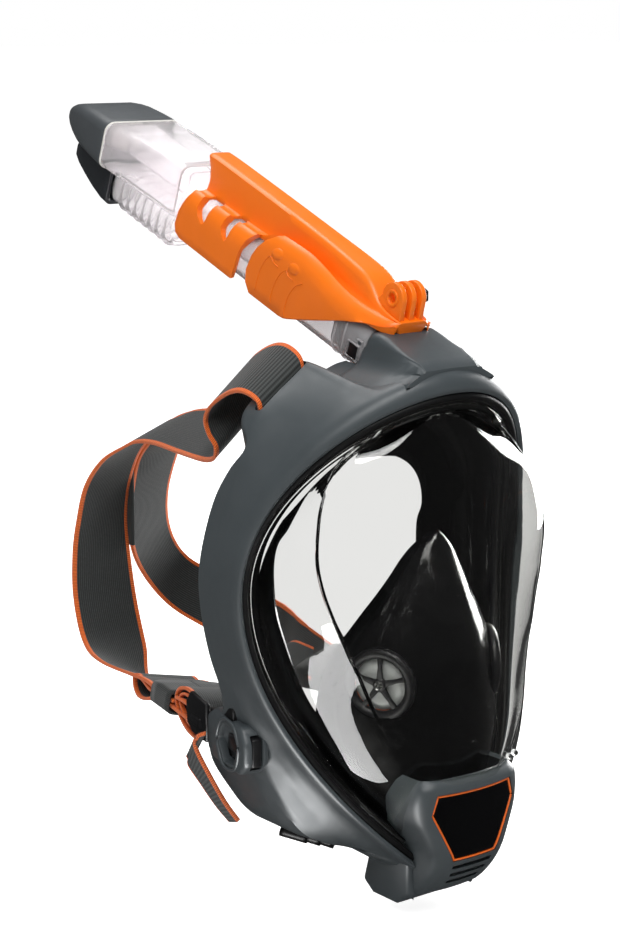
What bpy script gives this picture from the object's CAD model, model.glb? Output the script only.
import math
from bisect import bisect_right

import bmesh
import bpy
import numpy as np
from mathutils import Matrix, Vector


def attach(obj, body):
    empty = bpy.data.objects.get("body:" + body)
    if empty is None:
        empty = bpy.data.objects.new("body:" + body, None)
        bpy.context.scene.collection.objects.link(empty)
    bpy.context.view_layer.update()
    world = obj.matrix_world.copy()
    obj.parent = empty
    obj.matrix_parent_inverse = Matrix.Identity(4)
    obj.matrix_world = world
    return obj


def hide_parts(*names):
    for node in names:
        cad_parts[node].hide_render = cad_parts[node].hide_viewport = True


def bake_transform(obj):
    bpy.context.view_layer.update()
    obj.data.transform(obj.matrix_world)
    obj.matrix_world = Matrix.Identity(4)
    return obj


# Full face snorkel mask, seen from its front right. Design lengths are in millimetres in the row frame.
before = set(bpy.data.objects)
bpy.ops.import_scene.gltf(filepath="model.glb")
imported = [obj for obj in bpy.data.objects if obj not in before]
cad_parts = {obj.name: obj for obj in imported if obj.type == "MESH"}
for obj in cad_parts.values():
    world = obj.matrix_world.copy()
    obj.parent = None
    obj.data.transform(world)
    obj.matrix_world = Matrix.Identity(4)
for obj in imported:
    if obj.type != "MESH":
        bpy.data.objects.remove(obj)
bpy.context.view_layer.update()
MM = 0.001


# ---------------------------------------------------------------- small maths
def smooth(a, b, x):
    k = min(max((x - a) / (b - a), 0.0), 1.0)
    return k * k * (3 - 2 * k)


def along(table, x):
    """A smooth value through the table's (x, value) pairs, with x rising."""
    xs = [p[0] for p in table]
    ys = [np.asarray(p[1:], float) for p in table]
    x = min(max(x, xs[0]), xs[-1])
    i = min(bisect_right(xs, x) - 1, len(xs) - 2)

    def slope(k):
        a, b = max(k - 1, 0), min(k + 1, len(xs) - 1)
        return (ys[b] - ys[a]) / (xs[b] - xs[a])
    h = xs[i + 1] - xs[i]
    s = (x - xs[i]) / h
    value = ((1 + 2 * s) * (1 - s) ** 2 * ys[i] + s * (1 - s) ** 2 * h * slope(i)
             + s * s * (3 - 2 * s) * ys[i + 1] + s * s * (s - 1) * h * slope(i + 1))
    return value if len(value) > 1 else float(value[0])


def spline(points, steps, closed=False):
    """Catmull-Rom curve through the points."""
    p = [np.asarray(q, float) for q in points]
    n = len(p)
    out = []
    for i in range(n if closed else n - 1):
        if closed:
            a, b, c, d = p[i - 1], p[i], p[(i + 1) % n], p[(i + 2) % n]
        else:
            b, c = p[i], p[i + 1]
            a = p[i - 1] if i else 2 * b - c
            d = p[i + 2] if i + 2 < n else 2 * c - b
        for k in range(steps):
            s = k / steps
            out.append(0.5 * (2 * b + (c - a) * s + (2 * a - 5 * b + 4 * c - d) * s * s
                              + (3 * b - a - 3 * c + d) * s ** 3))
    return out if closed else out + [p[-1]]


def rounded_rect(w, h, r, mid=0.0, steps=6):
    """Counter-clockwise loop of a rounded rectangle, centred at (0, mid)."""
    r = min(r, w / 2 - 0.01, h / 2 - 0.01)
    loop = []
    for cx, cy, a0 in ((w / 2 - r, h / 2 - r, 0), (r - w / 2, h / 2 - r, 90),
                       (r - w / 2, r - h / 2, 180), (w / 2 - r, r - h / 2, 270)):
        for k in range(steps + 1):
            a = math.radians(a0 + 90 * k / steps)
            loop.append((cx + r * math.cos(a), mid + cy + r * math.sin(a)))
    return loop


# ---------------------------------------------------------------- frames of reference
HALF_WIDTH, WIDE_Z, RISE, DROP = 93.0, 22.0, 101.0, 153.0
RIM_Y, RIM_WRAP, CHIN_POWER = -84.0, 0.006026, 1.7
SNORKEL_TILT = math.radians(20.5)
COS, SIN = math.cos(SNORKEL_TILT), math.sin(SNORKEL_TILT)
PULL_X, PULL_Y = 0.22, 0.9755
BUCKLE_AT = (-79.0, -14.0, -58.0)
REAR = [(-150, -66), (-133, -60), (-105, -35), (-75, -20), (-46, -12), (-25, -7), (-4, -2), (15, 0),
        (33, 0), (49, -2), (65, -8), (100, -14), (140, -18)]


def rim(t, side=0.0, top=None):
    """x and z of the mask's outline, t degrees from the top."""
    top = side if top is None else top
    a = math.radians(abs(t))
    if abs(t) <= 90:
        x, z = (HALF_WIDTH + side) * math.sin(a), WIDE_Z + (RISE + top) * math.cos(a)
    else:
        x = (HALF_WIDTH + side) * max(math.sin(a), 0) ** CHIN_POWER
        z = WIDE_Z + (DROP + side) * math.cos(a)
    return math.copysign(x, t), z


def rim_y(x):
    return RIM_Y + RIM_WRAP * x * x


def sn(x, v, u):
    """A point of the snorkel: across, above its axis, along it."""
    return (x, -30 + u * COS - v * SIN, 135 + u * SIN + v * COS)


def bk(side, x, y, z):
    """A point of a buckle: inward, down, along the pull. side is -1 on the right."""
    px = BUCKLE_AT[0] + x * PULL_Y + z * PULL_X
    return (-side * px, BUCKLE_AT[1] - x * PULL_X + z * PULL_Y, BUCKLE_AT[2] - y)


def wb(side, down, outward, along_pull):
    """A point of the nearly level webbing behind a buckle, from its middle line."""
    out = outward - 12.0
    turn = math.radians(100)
    return bk(side, down * math.cos(turn) - out * math.sin(turn),
              down * math.sin(turn) + out * math.cos(turn), along_pull)


# ---------------------------------------------------------------- mesh helpers
def mesh_object(name, verts, faces, mats, marks=None, uvs=None):
    mesh = bpy.data.meshes.new(name)
    mesh.from_pydata([tuple(float(c) * MM for c in p) for p in verts], [], faces)
    for m in mats:
        mesh.materials.append(m)
    if marks:
        mesh.polygons.foreach_set("material_index", marks)
    if uvs:
        layer = mesh.uv_layers.new(name="UVMap")
        for loop in mesh.loops:
            layer.data[loop.index].uv = uvs[loop.vertex_index]
    bm = bmesh.new()
    bm.from_mesh(mesh)
    bmesh.ops.recalc_face_normals(bm, faces=bm.faces)
    bm.to_mesh(mesh)
    bm.free()
    mesh.polygons.foreach_set("use_smooth", [True] * len(mesh.polygons))
    obj = bpy.data.objects.new(name, mesh)
    bpy.context.scene.collection.objects.link(obj)
    return obj


def sheet_of(name, pts, mats, loop_u=False, loop_v=False, marks=None, uv=None, cap=False):
    """A quad mesh through pts[row][column]."""
    n, m = len(pts), len(pts[0])
    faces, mark = [], []
    for i in range(n if loop_u else n - 1):
        for j in range(m if loop_v else m - 1):
            a, b = i * m + j, i * m + (j + 1) % m
            k = (i + 1) % n
            faces.append((a, b, k * m + (j + 1) % m, k * m + j))
            mark.append(marks(i, j) if marks else 0)
    if cap:
        faces += [tuple(range(m)), tuple((n - 1) * m + j for j in range(m))]
        mark += [0, 0]
    uvs = [uv[i][j] for i in range(n) for j in range(m)] if uv else None
    return mesh_object(name, [p for row in pts for p in row], faces, mats, mark, uvs)


def prism(name, outline, place, d0, d1, mats):
    """An outline of (a, b) points carried from depth d0 to d1 by place(a, b, depth)."""
    n = len(outline)
    verts = [place(a, b, d0) for a, b in outline] + [place(a, b, d1) for a, b in outline]
    faces = [tuple(range(n)), tuple(range(2 * n - 1, n - 1, -1))]
    faces += [(i, (i + 1) % n, n + (i + 1) % n, n + i) for i in range(n)]
    return mesh_object(name, verts, faces, mats)


def lathe(name, profile, place, mats, steps=48):
    """A closed (radius, height) profile turned about an axis; place(a, b, height) sets it in the mask."""
    pts = [[place(r * math.cos(2 * math.pi * k / steps), r * math.sin(2 * math.pi * k / steps), h)
            for r, h in profile] for k in range(steps)]
    obj = sheet_of(name, pts, mats, loop_u=True, loop_v=True)
    bm = bmesh.new()
    bm.from_mesh(obj.data)
    bmesh.ops.remove_doubles(bm, verts=bm.verts, dist=1e-7)
    bmesh.ops.recalc_face_normals(bm, faces=bm.faces)
    bm.to_mesh(obj.data)
    bm.free()
    return obj


def bake(obj):
    """Keeps the result of obj's modifiers as its mesh."""
    dg = bpy.context.evaluated_depsgraph_get()
    mesh = bpy.data.meshes.new_from_object(obj.evaluated_get(dg), depsgraph=dg)
    obj.modifiers.clear()
    obj.data = mesh
    return obj


def soften(obj, width, angle=35, segments=3):
    """Rounds the edges sharper than angle."""
    mod = obj.modifiers.new("round", "BEVEL")
    mod.width, mod.segments, mod.limit_method = width * MM, segments, "ANGLE"
    mod.angle_limit = math.radians(angle)
    mod.harden_normals = False
    bake(obj)
    obj.data.polygons.foreach_set("use_smooth", [True] * len(obj.data.polygons))
    obj.data.set_sharp_from_angle(angle=math.radians(40))
    return obj


def thicken(obj, wall, offset=-1.0):
    mod = obj.modifiers.new("wall", "SOLIDIFY")
    mod.thickness, mod.offset, mod.use_even_offset = wall * MM, offset, False
    return bake(obj)


def cut(obj, *cutters, keep="DIFFERENCE"):
    for cutter in cutters:
        mod = obj.modifiers.new("cut", "BOOLEAN")
        mod.object, mod.operation, mod.solver = cutter, keep, "EXACT"
    bake(obj)
    for cutter in cutters:
        bpy.data.objects.remove(cutter, do_unlink=True)
    obj.data.set_sharp_from_angle(angle=math.radians(40))
    return obj


def bead(name, points, r, mats, sides=8, closed=False, flat=1.0):
    """A round bead along a 3-D path."""
    p = [np.asarray(q, float) for q in points]
    rows = []
    for i, q in enumerate(p):
        a = p[(i - 1) % len(p)] if closed or i else q
        b = p[(i + 1) % len(p)] if closed or i + 1 < len(p) else q
        run = (b - a) / np.linalg.norm(b - a)
        side = np.cross(run, (0, 0, 1))
        if np.linalg.norm(side) < 0.1:
            side = np.cross(run, (0, 1, 0))
        side /= np.linalg.norm(side)
        up = np.cross(side, run)
        rows.append([q + r * math.cos(2 * math.pi * k / sides) * side
                     + r * flat * math.sin(2 * math.pi * k / sides) * up for k in range(sides)])
    return sheet_of(name, rows, mats, loop_u=closed, loop_v=True, cap=not closed)


def piece(obj, body, nodes=()):
    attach(obj, body)
    if nodes:
        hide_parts(*nodes)
    return obj


def paint(mat, *nodes):
    """Gives CAD nodes that stay in view their finish."""
    for n in nodes:
        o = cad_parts[n]
        o.data.materials.clear()
        o.data.materials.append(mat)
        o.data.polygons.foreach_set("use_smooth", [True] * len(o.data.polygons))


# ---------------------------------------------------------------- finishes
def linear(rgb):
    def one(c):
        c /= 255
        return c / 12.92 if c <= 0.04045 else ((c + 0.055) / 1.055) ** 2.4
    return [one(c) for c in rgb]


class Nodes:
    """Short calls for building a node tree."""
    def __init__(self, name):
        self.mat = bpy.data.materials.new(name)
        self.mat.use_nodes = True
        self.tree = self.mat.node_tree
        self.shader = self.tree.nodes["Principled BSDF"]
        self.out = self.tree.nodes["Material Output"]

    def add(self, kind, **values):
        node = self.tree.nodes.new(kind)
        for k, v in values.items():
            setattr(node, k, v)
        return node

    def link(self, a, b):
        self.tree.links.new(a, b)

    def noise(self, scale, detail=3.0, where=None):
        n = self.add("ShaderNodeTexNoise")
        n.inputs["Scale"].default_value = scale
        n.inputs["Detail"].default_value = detail
        where = where or self.add("ShaderNodeTexCoord").outputs["Object"]
        self.link(where, n.inputs["Vector"])
        return n.outputs["Fac"]

    def spread(self, fac, low, high):
        r = self.add("ShaderNodeMapRange")
        r.inputs["To Min"].default_value, r.inputs["To Max"].default_value = low, high
        r.inputs["From Min"].default_value, r.inputs["From Max"].default_value = 0.3, 0.7
        self.link(fac, r.inputs["Value"])
        return r.outputs["Result"]

    def mix(self, fac, a, b):
        m = self.add("ShaderNodeMix", data_type="RGBA")
        self.link(fac, m.inputs[0])
        for socket, value in ((m.inputs[6], a), (m.inputs[7], b)):
            if hasattr(value, "links"):
                self.link(value, socket)
            else:
                socket.default_value = (*value[:3], 1)
        return m.outputs[2]

    def math(self, kind, a, b=None, c=None):
        m = self.add("ShaderNodeMath", operation=kind)
        for socket, value in zip(m.inputs, (a, b, c)):
            if value is None:
                continue
            if hasattr(value, "links"):
                self.link(value, socket)
            else:
                socket.default_value = value
        return m.outputs[0]

    def bump(self, height, distance, strength=1.0):
        b = self.add("ShaderNodeBump")
        b.inputs["Distance"].default_value = distance * MM
        b.inputs["Strength"].default_value = strength
        self.link(height, b.inputs["Height"])
        self.link(b.outputs["Normal"], self.shader.inputs["Normal"])


def moulded(name, rgb, rough, vary=0.10, grain=1400.0, depth=0.03, gloss=0.5, metal=0.0):
    """Moulded plastic or rubber: slight tone changes and a fine moulded grain."""
    n = Nodes(name)
    base = linear(rgb)
    tone = n.noise(45.0)
    n.link(n.mix(tone, [c * (1 - vary) for c in base], [c * (1 + vary) for c in base]),
           n.shader.inputs["Base Color"])
    n.link(n.spread(n.noise(120.0), rough - 0.05, rough + 0.05), n.shader.inputs["Roughness"])
    n.shader.inputs["Specular IOR Level"].default_value = gloss
    n.shader.inputs["Metallic"].default_value = metal
    n.bump(n.noise(grain, 2.0), depth)
    return n.mat


def clear(name, rgb, rough=0.02, ior=1.46, wave=0.02, milk=0.0):
    """Clear plastic that lets light through to what is behind it."""
    n = Nodes(name)
    base = linear(rgb)
    n.link(n.mix(n.noise(30.0), [c * 0.985 for c in base], base), n.shader.inputs["Base Color"])
    n.link(n.spread(n.noise(60.0), rough * 0.6, rough * 1.4), n.shader.inputs["Roughness"])
    n.shader.inputs["Transmission Weight"].default_value = 1.0 - milk
    n.shader.inputs["IOR"].default_value = ior
    n.bump(n.noise(40.0, 1.0), wave)
    path = n.add("ShaderNodeLightPath")
    through = n.add("ShaderNodeBsdfTransparent")
    through.inputs["Color"].default_value = (*[min(c, 1) for c in base], 1)
    swap = n.add("ShaderNodeMixShader")
    n.link(path.outputs["Is Shadow Ray"], swap.inputs[0])
    n.link(n.shader.outputs[0], swap.inputs[1])
    n.link(through.outputs[0], swap.inputs[2])
    n.link(swap.outputs[0], n.out.inputs["Surface"])
    return n.mat


def woven(name, rgb, stripe, rib_until=0.0, edge=False):
    """Knitted webbing: stripes along it, ribs across it, coarser ribs up to rib_until metres."""
    n = Nodes(name)
    uv = n.add("ShaderNodeSeparateXYZ")
    n.link(n.add("ShaderNodeTexCoord").outputs["UV"], uv.inputs[0])
    run, across = uv.outputs[0], uv.outputs[1]

    def wave(value, pitch):
        return n.math("MULTIPLY_ADD",
                      n.math("SINE", n.math("MULTIPLY", value, 2 * math.pi / (pitch * MM))), 0.5, 0.5)
    lengthwise, crosswise = wave(across, 1.25), wave(run, 1.0 if edge else 0.9)
    dark, light = [c * 0.62 for c in linear(rgb)], linear(stripe)
    fleck = n.noise(900.0, 2.0)
    mixed = n.math("MULTIPLY", crosswise if edge else lengthwise, n.spread(fleck, 0.55, 1.0))
    height = n.math("ADD", n.math("MULTIPLY", lengthwise, 0.0 if edge else 0.6),
                    n.math("MULTIPLY", crosswise, 0.5))
    if rib_until:
        near = n.math("LESS_THAN", run, rib_until)
        coarse = wave(run, 2.3)
        pick = n.add("ShaderNodeMix", data_type="FLOAT")
        n.link(near, pick.inputs[0])
        n.link(mixed, pick.inputs[2])
        n.link(coarse, pick.inputs[3])
        mixed = pick.outputs[0]
        height = n.math("ADD", height, n.math("MULTIPLY", n.math("MULTIPLY", near, coarse), 2.5))
    n.link(n.mix(mixed, dark, light), n.shader.inputs["Base Color"])
    n.shader.inputs["Roughness"].default_value = 0.85
    n.shader.inputs["Sheen Weight"].default_value = 0.15
    n.bump(height, 0.12)
    return n.mat


GREY = moulded("frame_grey", (66, 72, 75), 0.42, depth=0.02)
RUBBER = moulded("black_rubber", (16, 16, 17), 0.42, gloss=0.35)
SILICONE = moulded("black_silicone", (6, 6, 7), 0.13, depth=0.003, gloss=0.6)
BLACK = moulded("black_plastic", (20, 20, 22), 0.36, gloss=0.4)
GLOSS = moulded("badge_black", (5, 5, 6), 0.16, gloss=0.35, depth=0.004)
ORANGE = moulded("clip_orange", (246, 118, 14), 0.36, vary=0.05, depth=0.015)
TRIM = moulded("orange_trim", (228, 100, 20), 0.4, vary=0.05)
CAP = moulded("cap_grey", (72, 76, 79), 0.42)
CAP_DARK = moulded("cap_dark", (42, 45, 49), 0.42)
FLAP = moulded("flap_silicone", (175, 178, 176), 0.4, vary=0.03)
STEEL = moulded("steel", (60, 60, 62), 0.25, metal=1.0)
WHITE = moulded("float_white", (222, 220, 214), 0.45, vary=0.03)
LENS = clear("lens_clear", (243, 243, 241), ior=1.42)
TUBE = clear("tube_clear", (250, 248, 249), rough=0.2, ior=1.15, wave=0.03, milk=0.16)
VALVE = clear("valve_clear", (240, 240, 238), rough=0.12)
WEB = woven("webbing", (32, 35, 35), (60, 64, 63), rib_until=0.040)
WEB_EDGE = woven("webbing_edge", (214, 84, 18), (250, 124, 40), edge=True)


# ---------------------------------------------------------------- frame
FRONT_LIP = 2.0
# Outer silhouette behind the lip, by degrees from the top: shoulders with their ears, sides, jaw wings, chin.
WIDE = [(0, 0, 131), (12, 19.8, 129.6), (20, 32.5, 125.2), (21.6, 36, 125.2), (23.2, 41.5, 132.5),
        (27, 46, 130.5), (32, 53, 125.6), (38, 60.5, 120.4), (44, 67, 115.6), (50, 73.8, 109.6),
        (53.5, 78.4, 103), (57, 82, 96), (61, 85.2, 88), (68, 89.5, 70), (75, 92.5, 52), (82, 94.2, 35),
        (90, 94.9, 22), (96, 93.8, 6), (103, 91, -13), (110, 87.5, -29), (117, 83.5, -45),
        (123, 80.3, -58), (129, 77, -72), (135, 72.8, -85), (140, 68.4, -96), (144, 62.5, -103),
        (148, 53, -107.5), (154, 40, -111), (160, 27, -119), (170, 10, -131), (180, 0, -134)]
BACK_EDGE = [(0, -17), (20.5, -15), (23, -10), (49, -9.5), (52.5, -13), (55.5, -21.5), (59, -22),
             (63, -15), (68, -8), (75, -3), (82, 0), (90, 0), (96, -1), (103, -3.5), (110, -7), (115, -6),
             (119, 2), (123, 13), (130, 16), (134, 12), (138, 5), (142, -1), (146, -9), (150, -24),
             (156, -38), (164, -50), (172, -58), (180, -62)]


def frame_row(t):
    """The frame's closed cross-section at t degrees."""
    x, z = rim(t)
    front = rim_y(x) - FRONT_LIP
    inner, crest, outer = rim(t, -2), rim(t, 0.2), rim(t, 2, 9)
    wide = along(WIDE, abs(t))
    wide = (math.copysign(wide[0], t), wide[1])
    back = along(BACK_EDGE, abs(t))
    wing = smooth(116, 122, abs(t)) * (1 - smooth(150, 156, abs(t)))
    lean = 16 + 12 * wing
    grown = math.dist(outer, crest)

    def mid(a, b, k):
        return (a[0] + (b[0] - a[0]) * k, a[1] + (b[1] - a[1]) * k)
    lip = 5.0 + 0.35 * grown
    start = front + lip
    row = [(*mid(inner, (wide[0], wide[1]), 0.75 * wing), back), (*mid(inner, wide, 0.35 * wing), back - 8),
           (*inner, front + 8), (*inner, front + 1.4),
           (*mid(inner, crest, 0.5), front + 0.35), (*crest, front),
           (*mid(crest, outer, 0.35), front + 0.05 * lip), (*mid(crest, outer, 0.68), front + 0.25 * lip),
           (*mid(crest, outer, 0.9), front + 0.58 * lip), (*outer, start)]
    steps = 16
    for k in range(1, steps + 1):
        y = start + (back - 1.2 - start) * k / steps
        far = smooth(56, 74, abs(t))
        w = min(max((y - start - 1.0) / ((-24 - start) * (1 - far) + lean * far), 0), 1)
        w = 0.6 * w + 0.4 * w * w * (3 - 2 * w) if wing == 0 else w * w * (3 - 2 * w)
        px, pz = mid(outer, wide, w)
        if wing > 0:
            for at, deep, width in ((front + 24, 2.0, 4.2), (front + 35, 1.6, 3.6)):
                dent = deep * math.exp(-((y - at) / width) ** 2) * smooth(120, 127, abs(t)) * wing
                px, pz = px - math.copysign(dent * 0.9, t), pz + dent * 0.35
        row.append((px, pz, y))
    px, pz = mid(wide, inner, min(1.3 / max(math.dist(wide, inner), 1), 0.4))
    row.append((px, pz, back))
    return [(a, y, b) for a, b, y in row]


degrees = sorted({round(-180 + 1.25 * k, 3) for k in range(288)}
                 | {s * a for s in (-1, 1) for a in (20.6, 21.1, 21.6, 22.1, 22.6, 23.1, 50.6,
                                                     51.6, 52.9, 54.3)})
shell = sheet_of("frame_shell", [frame_row(t) for t in degrees], [GREY], loop_u=True, loop_v=True)


def slot_place(side, a, b, d):
    """Across the ear's slot, front to back, and out through the ear."""
    n = 1 / math.hypot(30, 21)
    x, z = 57 - a * 30 * n + d * 21 * n, 122 + a * 21 * n + d * 30 * n
    return (side * x, -19.5 + b, z)


def tube_place(a, b, u):
    return sn(a, b, u)


cutters = [prism(f"slot_{s}", rounded_rect(37, 5.6, 2),
                 lambda a, b, d, s=s: slot_place(s, a, b, d), -24, 30, [GREY])
           for s in (-1, 1)]
cutters.append(prism("neck_room", rounded_rect(37, 28, 9, 3.5), tube_place, -4.6, 60, [GREY]))
cutters.append(prism("chin_room",
                     [(30.4, -66.5), (33.4, -77), (32.4, -87.2), (22.9, -108), (20.9, -134), (-20.9, -134),
                                   (-22.9, -108), (-32.4, -87.2), (-33.4, -77), (-30.4, -66.5)],
                     lambda a, b, d: (a, d, b), -125, -80.7, [GREY]))
cut(shell, *cutters)
piece(shell, "mask", ["frame"])

BLOCK = [(-21, -5), (-15, -13), (17, -14.5), (27, -9), (27, 9), (20, 13), (-13, 12.5), (-21, 6)]
HEX = [(12.2, 0), (6.5, -9.6), (-6.0, -10.2), (-12.0, -1.5), (-7.5, 9.0), (5.5, 10.4)]
for side, word in ((-1, "right"), (1, "left")):
    block = prism(f"buckle_block_{word}", BLOCK, lambda a, b, d, s=side: bk(s, d, b, a), -7.2, 6.5, [GREY])
    soften(block, 2.4, segments=4)
    hole = prism("hole", HEX, lambda a, b, d, s=side: bk(s, d, b, a), -12, 3, [GREY])
    soften(hole, 1.6, angle=30)
    channel = prism("channel", rounded_rect(6.2, 18.2, 1),
                    lambda a, b, d, s=side: bk(s, a, b, d), -26, 60, [GREY])
    cut(block, hole, channel)
    soften(block, 0.7, angle=50)
    piece(block, "mask")
    lip = bead(f"buckle_lip_{word}", spline([bk(side, -7.1, b * 1.16, a * 1.13) for a, b in HEX], 8, True),
               1.0, [GREY], closed=True, flat=0.8)
    piece(lip, "mask")
    pad = prism(f"block_pad_{word}", rounded_rect(13, 7, 1.5),
                lambda a, b, d, s=side: bk(s, d, b - 15.8, a + 2), -6.2, 2,
                [RUBBER])
    piece(soften(pad, 0.8), "mask")

# ---------------------------------------------------------------- lens
# The crease round the window, by degrees from the top: half-width, depth, height.
CREASE = [(0, 0, -74.7, 109.6), (8, 14, -72.5, 108.4), (16, 26, -69, 105), (25, 37.5, -65.9, 99.4),
          (33, 50.5, -64, 92), (39, 60, -63.9, 84), (46, 67, -65.2, 76), (52, 71, -66.6, 68),
          (58, 73, -67.7, 60), (64, 74.5, -68.7, 52), (70, 75, -69.6, 44), (76, 74, -70.5, 36),
          (82, 72, -71.4, 28), (88, 69.5, -72.9, 20), (93, 66.5, -74.1, 12), (98, 63.5, -75.6, 4),
          (103, 60.5, -77.3, -4), (109, 56.5, -79.2, -13), (118, 51.5, -82.5, -27), (127, 46, -87, -42),
          (136, 38, -91.5, -56), (148, 26, -96, -68), (165, 11, -99, -77), (180, 0, -100, -80)]
SPINE = [(-81, -102.5), (-67, -104), (-20, -103), (22, -97), (60, -88.5), (90, -80.5), (109.6, -74.7)]
ROUND = [(-80, 75), (-12, 75), (44, 108), (84, 112), (110, 112)]


def crease(t):
    x, y, z = along(CREASE, abs(t))
    return np.array((math.copysign(max(x, 0.0), t), y, z))


def dome(x, z):
    return along(SPINE, z) + x * x / (2 * along(ROUND, z))


def lens_wall(t):
    """From the flange under the lip to the crease."""
    x, _ = rim(t)
    y = rim_y(x)
    c = crease(t)
    low = smooth(108, 135, abs(t))
    rows = []
    for inset, shift in ((2.6, 3.2), (3.2, 1.4), (5.2, 1.2), (6.0, 2.0), (7.6, 2.0), (8.2, 0.9), (9.4, 0.9),
                         (10.0, 2.2), (11.0, 2.6)):
        px, pz = rim(t, -inset)
        rows.append(np.array((px, y + shift, pz)))
    root = rows[-1]
    for k in (0.06, 0.14, 0.25, 0.38, 0.52, 0.66, 0.8, 0.91, 0.97, 0.993):
        p = root + (c - root) * k
        swell = math.sin(math.pi * k) * (2.5 + 5.5 * low)
        out = np.array((p[0], 0, p[2] - 20))
        out /= max(np.linalg.norm(out), 1)
        rows.append(p + out * swell * 0.55 + np.array((0, -swell * 0.5, 0)))
    rows.append(c)
    return rows


ts = [-180 + 2.0 * k for k in range(180)]
wall = [lens_wall(t) for t in ts]
verts = [p for row in wall for p in row]
m = len(wall[0])
faces = [(i * m + j, i * m + j + 1, ((i + 1) % 180) * m + j + 1, ((i + 1) % 180) * m + j)
         for i in range(180) for j in range(m - 1)]
base = len(verts)
half = [t for t in ts if 0 <= t] + [180.0]
cols = 45
for t in half:
    c = crease(t)
    miss = c[1] - dome(c[0], c[2])
    for j in range(cols):
        s = -1 + 2 * j / (cols - 1)
        s = math.copysign(1 - (1 - abs(s)) ** 1.15, s)
        x = c[0] * s
        verts.append(np.array((x, dome(x, c[2]) + miss * smooth(0.55, 1.0, abs(s)), c[2])))
faces += [(base + i * cols + j, base + i * cols + j + 1, base + (i + 1) * cols + j + 1,
           base + (i + 1) * cols + j)
          for i in range(len(half) - 1) for j in range(cols - 1)]
window = mesh_object("lens_window", verts, faces, [LENS])
bm = bmesh.new()
bm.from_mesh(window.data)
bmesh.ops.remove_doubles(bm, verts=bm.verts, dist=2e-5)
bmesh.ops.dissolve_degenerate(bm, edges=bm.edges, dist=1e-6)
bmesh.ops.recalc_face_normals(bm, faces=bm.faces)
bm.to_mesh(window.data)
bm.free()
thicken(window, 2.2)
window.data.polygons.foreach_set("use_smooth", [True] * len(window.data.polygons))
piece(window, "mask", ["lens"])


def ring(name, mats, profile, body, nodes=(), step=2.0):
    """A closed profile(t) of (inset, y) carried round the outline."""
    rows = []
    for k in range(int(360 / step)):
        t = -180 + step * k
        rows.append([(rim(t, -i)[0], y, rim(t, -i)[1]) for i, y in profile(t)])
    return piece(sheet_of(name, rows, mats, loop_u=True, loop_v=True), body, nodes)


def at_rim(t):
    return rim_y(rim(t)[0])


ring("lens_gasket_band", [RUBBER],
     lambda t: [(2.1, at_rim(t) + 0.2), (3.4, at_rim(t) - 1.0), (5.4, at_rim(t) - 0.8),
                                              (6.2, at_rim(t) + 0.9), (6.2, at_rim(t) + 6),
                                              (2.1, at_rim(t) + 6)],
     "mask", ["lens_gasket"])
ring("lens_retainer_band", [BLACK],
     lambda t: [(2.4, at_rim(t) + 8), (9.5, at_rim(t) + 8), (9.5, at_rim(t) + 12),
                                               (2.4, at_rim(t) + 12)], "mask",
                                               ["skirt_retainer"])


def opening(t):
    """The inner edge of the face seal."""
    a = math.radians(abs(t))
    x = 47 * max(math.sin(a), 0.0) ** 0.72
    z = 20 + (59 if abs(t) <= 90 else 98) * math.copysign(abs(math.cos(a)) ** 0.92, math.cos(a))
    return math.copysign(x, t), z


def skirt_row(t):
    front = at_rim(t) + 12.4
    back = along(REAR, rim(t)[1]) + 4
    ox, oz = rim(t, -7.0)
    ix, iz = opening(t)
    row = [(*rim(t, -i), y) for i,
           y in ((7.2, front), (4.8, front), (5.0, (front + back) / 2), (2.6, back - 4),
                                         (2.4, back - 0.8), (4.4, back))]
    for k, y in ((0.15, 0.6), (0.4, 1.2), (0.65, 0.6), (0.85, -1.2), (0.97, -3.6), (1.0, -5.0),
                 (0.95, -5.4), (0.8, -4.0),
                 (0.6, -2.6), (0.35, -2.4), (0.12, -4.0), (0.0, -8.0)):
        row.append((ox + (ix - ox) * k, oz + (iz - oz) * k, back + y))
    row.append((*rim(t, -7.4), (front + back) / 2))
    return [(x, y, z) for x, z, y in row]


piece(sheet_of("face_skirt_seal", [skirt_row(-180 + 2.5 * k) for k in range(144)], [SILICONE],
               loop_u=True, loop_v=True),
      "mask", ["face_skirt"])

# ---------------------------------------------------------------- nose cup
# Height, axis depth, half-width, half-depth.
CUP = [(-100, -50, 24, 38), (-78, -45, 40, 46), (-55, -43, 48, 49), (-35, -44, 49, 47), (-18, -47, 46, 43),
       (-4, -51, 40, 37), (8, -55, 33, 30), (18, -58, 26, 25), (28, -61, 20, 19.5), (36, -63, 15.5, 15),
       (42, -65, 11.5, 11), (46, -66.5, 7.5, 8), (48.6, -68, 4.4, 5), (50.2, -69.5, 1.5, 2)]


def cup_point(z, a):
    yc, w, d = along(CUP, z)
    ridge = 4.5 * math.exp(-(a / 0.5) ** 2) * smooth(-70, -10, z) * (1 - smooth(20, 48, z))
    return (w * math.sin(a), yc - d * math.cos(a) - ridge, z)


cup_rows = []
for k in range(61):
    z = -100 + 150.2 * (1 - (1 - k / 60) ** 1.25)
    cup_rows.append([cup_point(z, math.radians(-98 + 3.5 * j)) for j in range(57)])
cup = sheet_of("nose_cup_shell", cup_rows, [SILICONE])
thicken(cup, 2.2)
VALVE_AZ = math.radians(60)


def valve_place(side, a, b, h):
    """In the valve's plane and out along its axis; side -1 is the right valve."""
    nx, ny = -math.sin(VALVE_AZ), -math.cos(VALVE_AZ)
    x, y, z = -36 + h * nx - a * ny, -71 + h * ny + a * nx, -22 + b
    return (-side * x, y, z)


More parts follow.
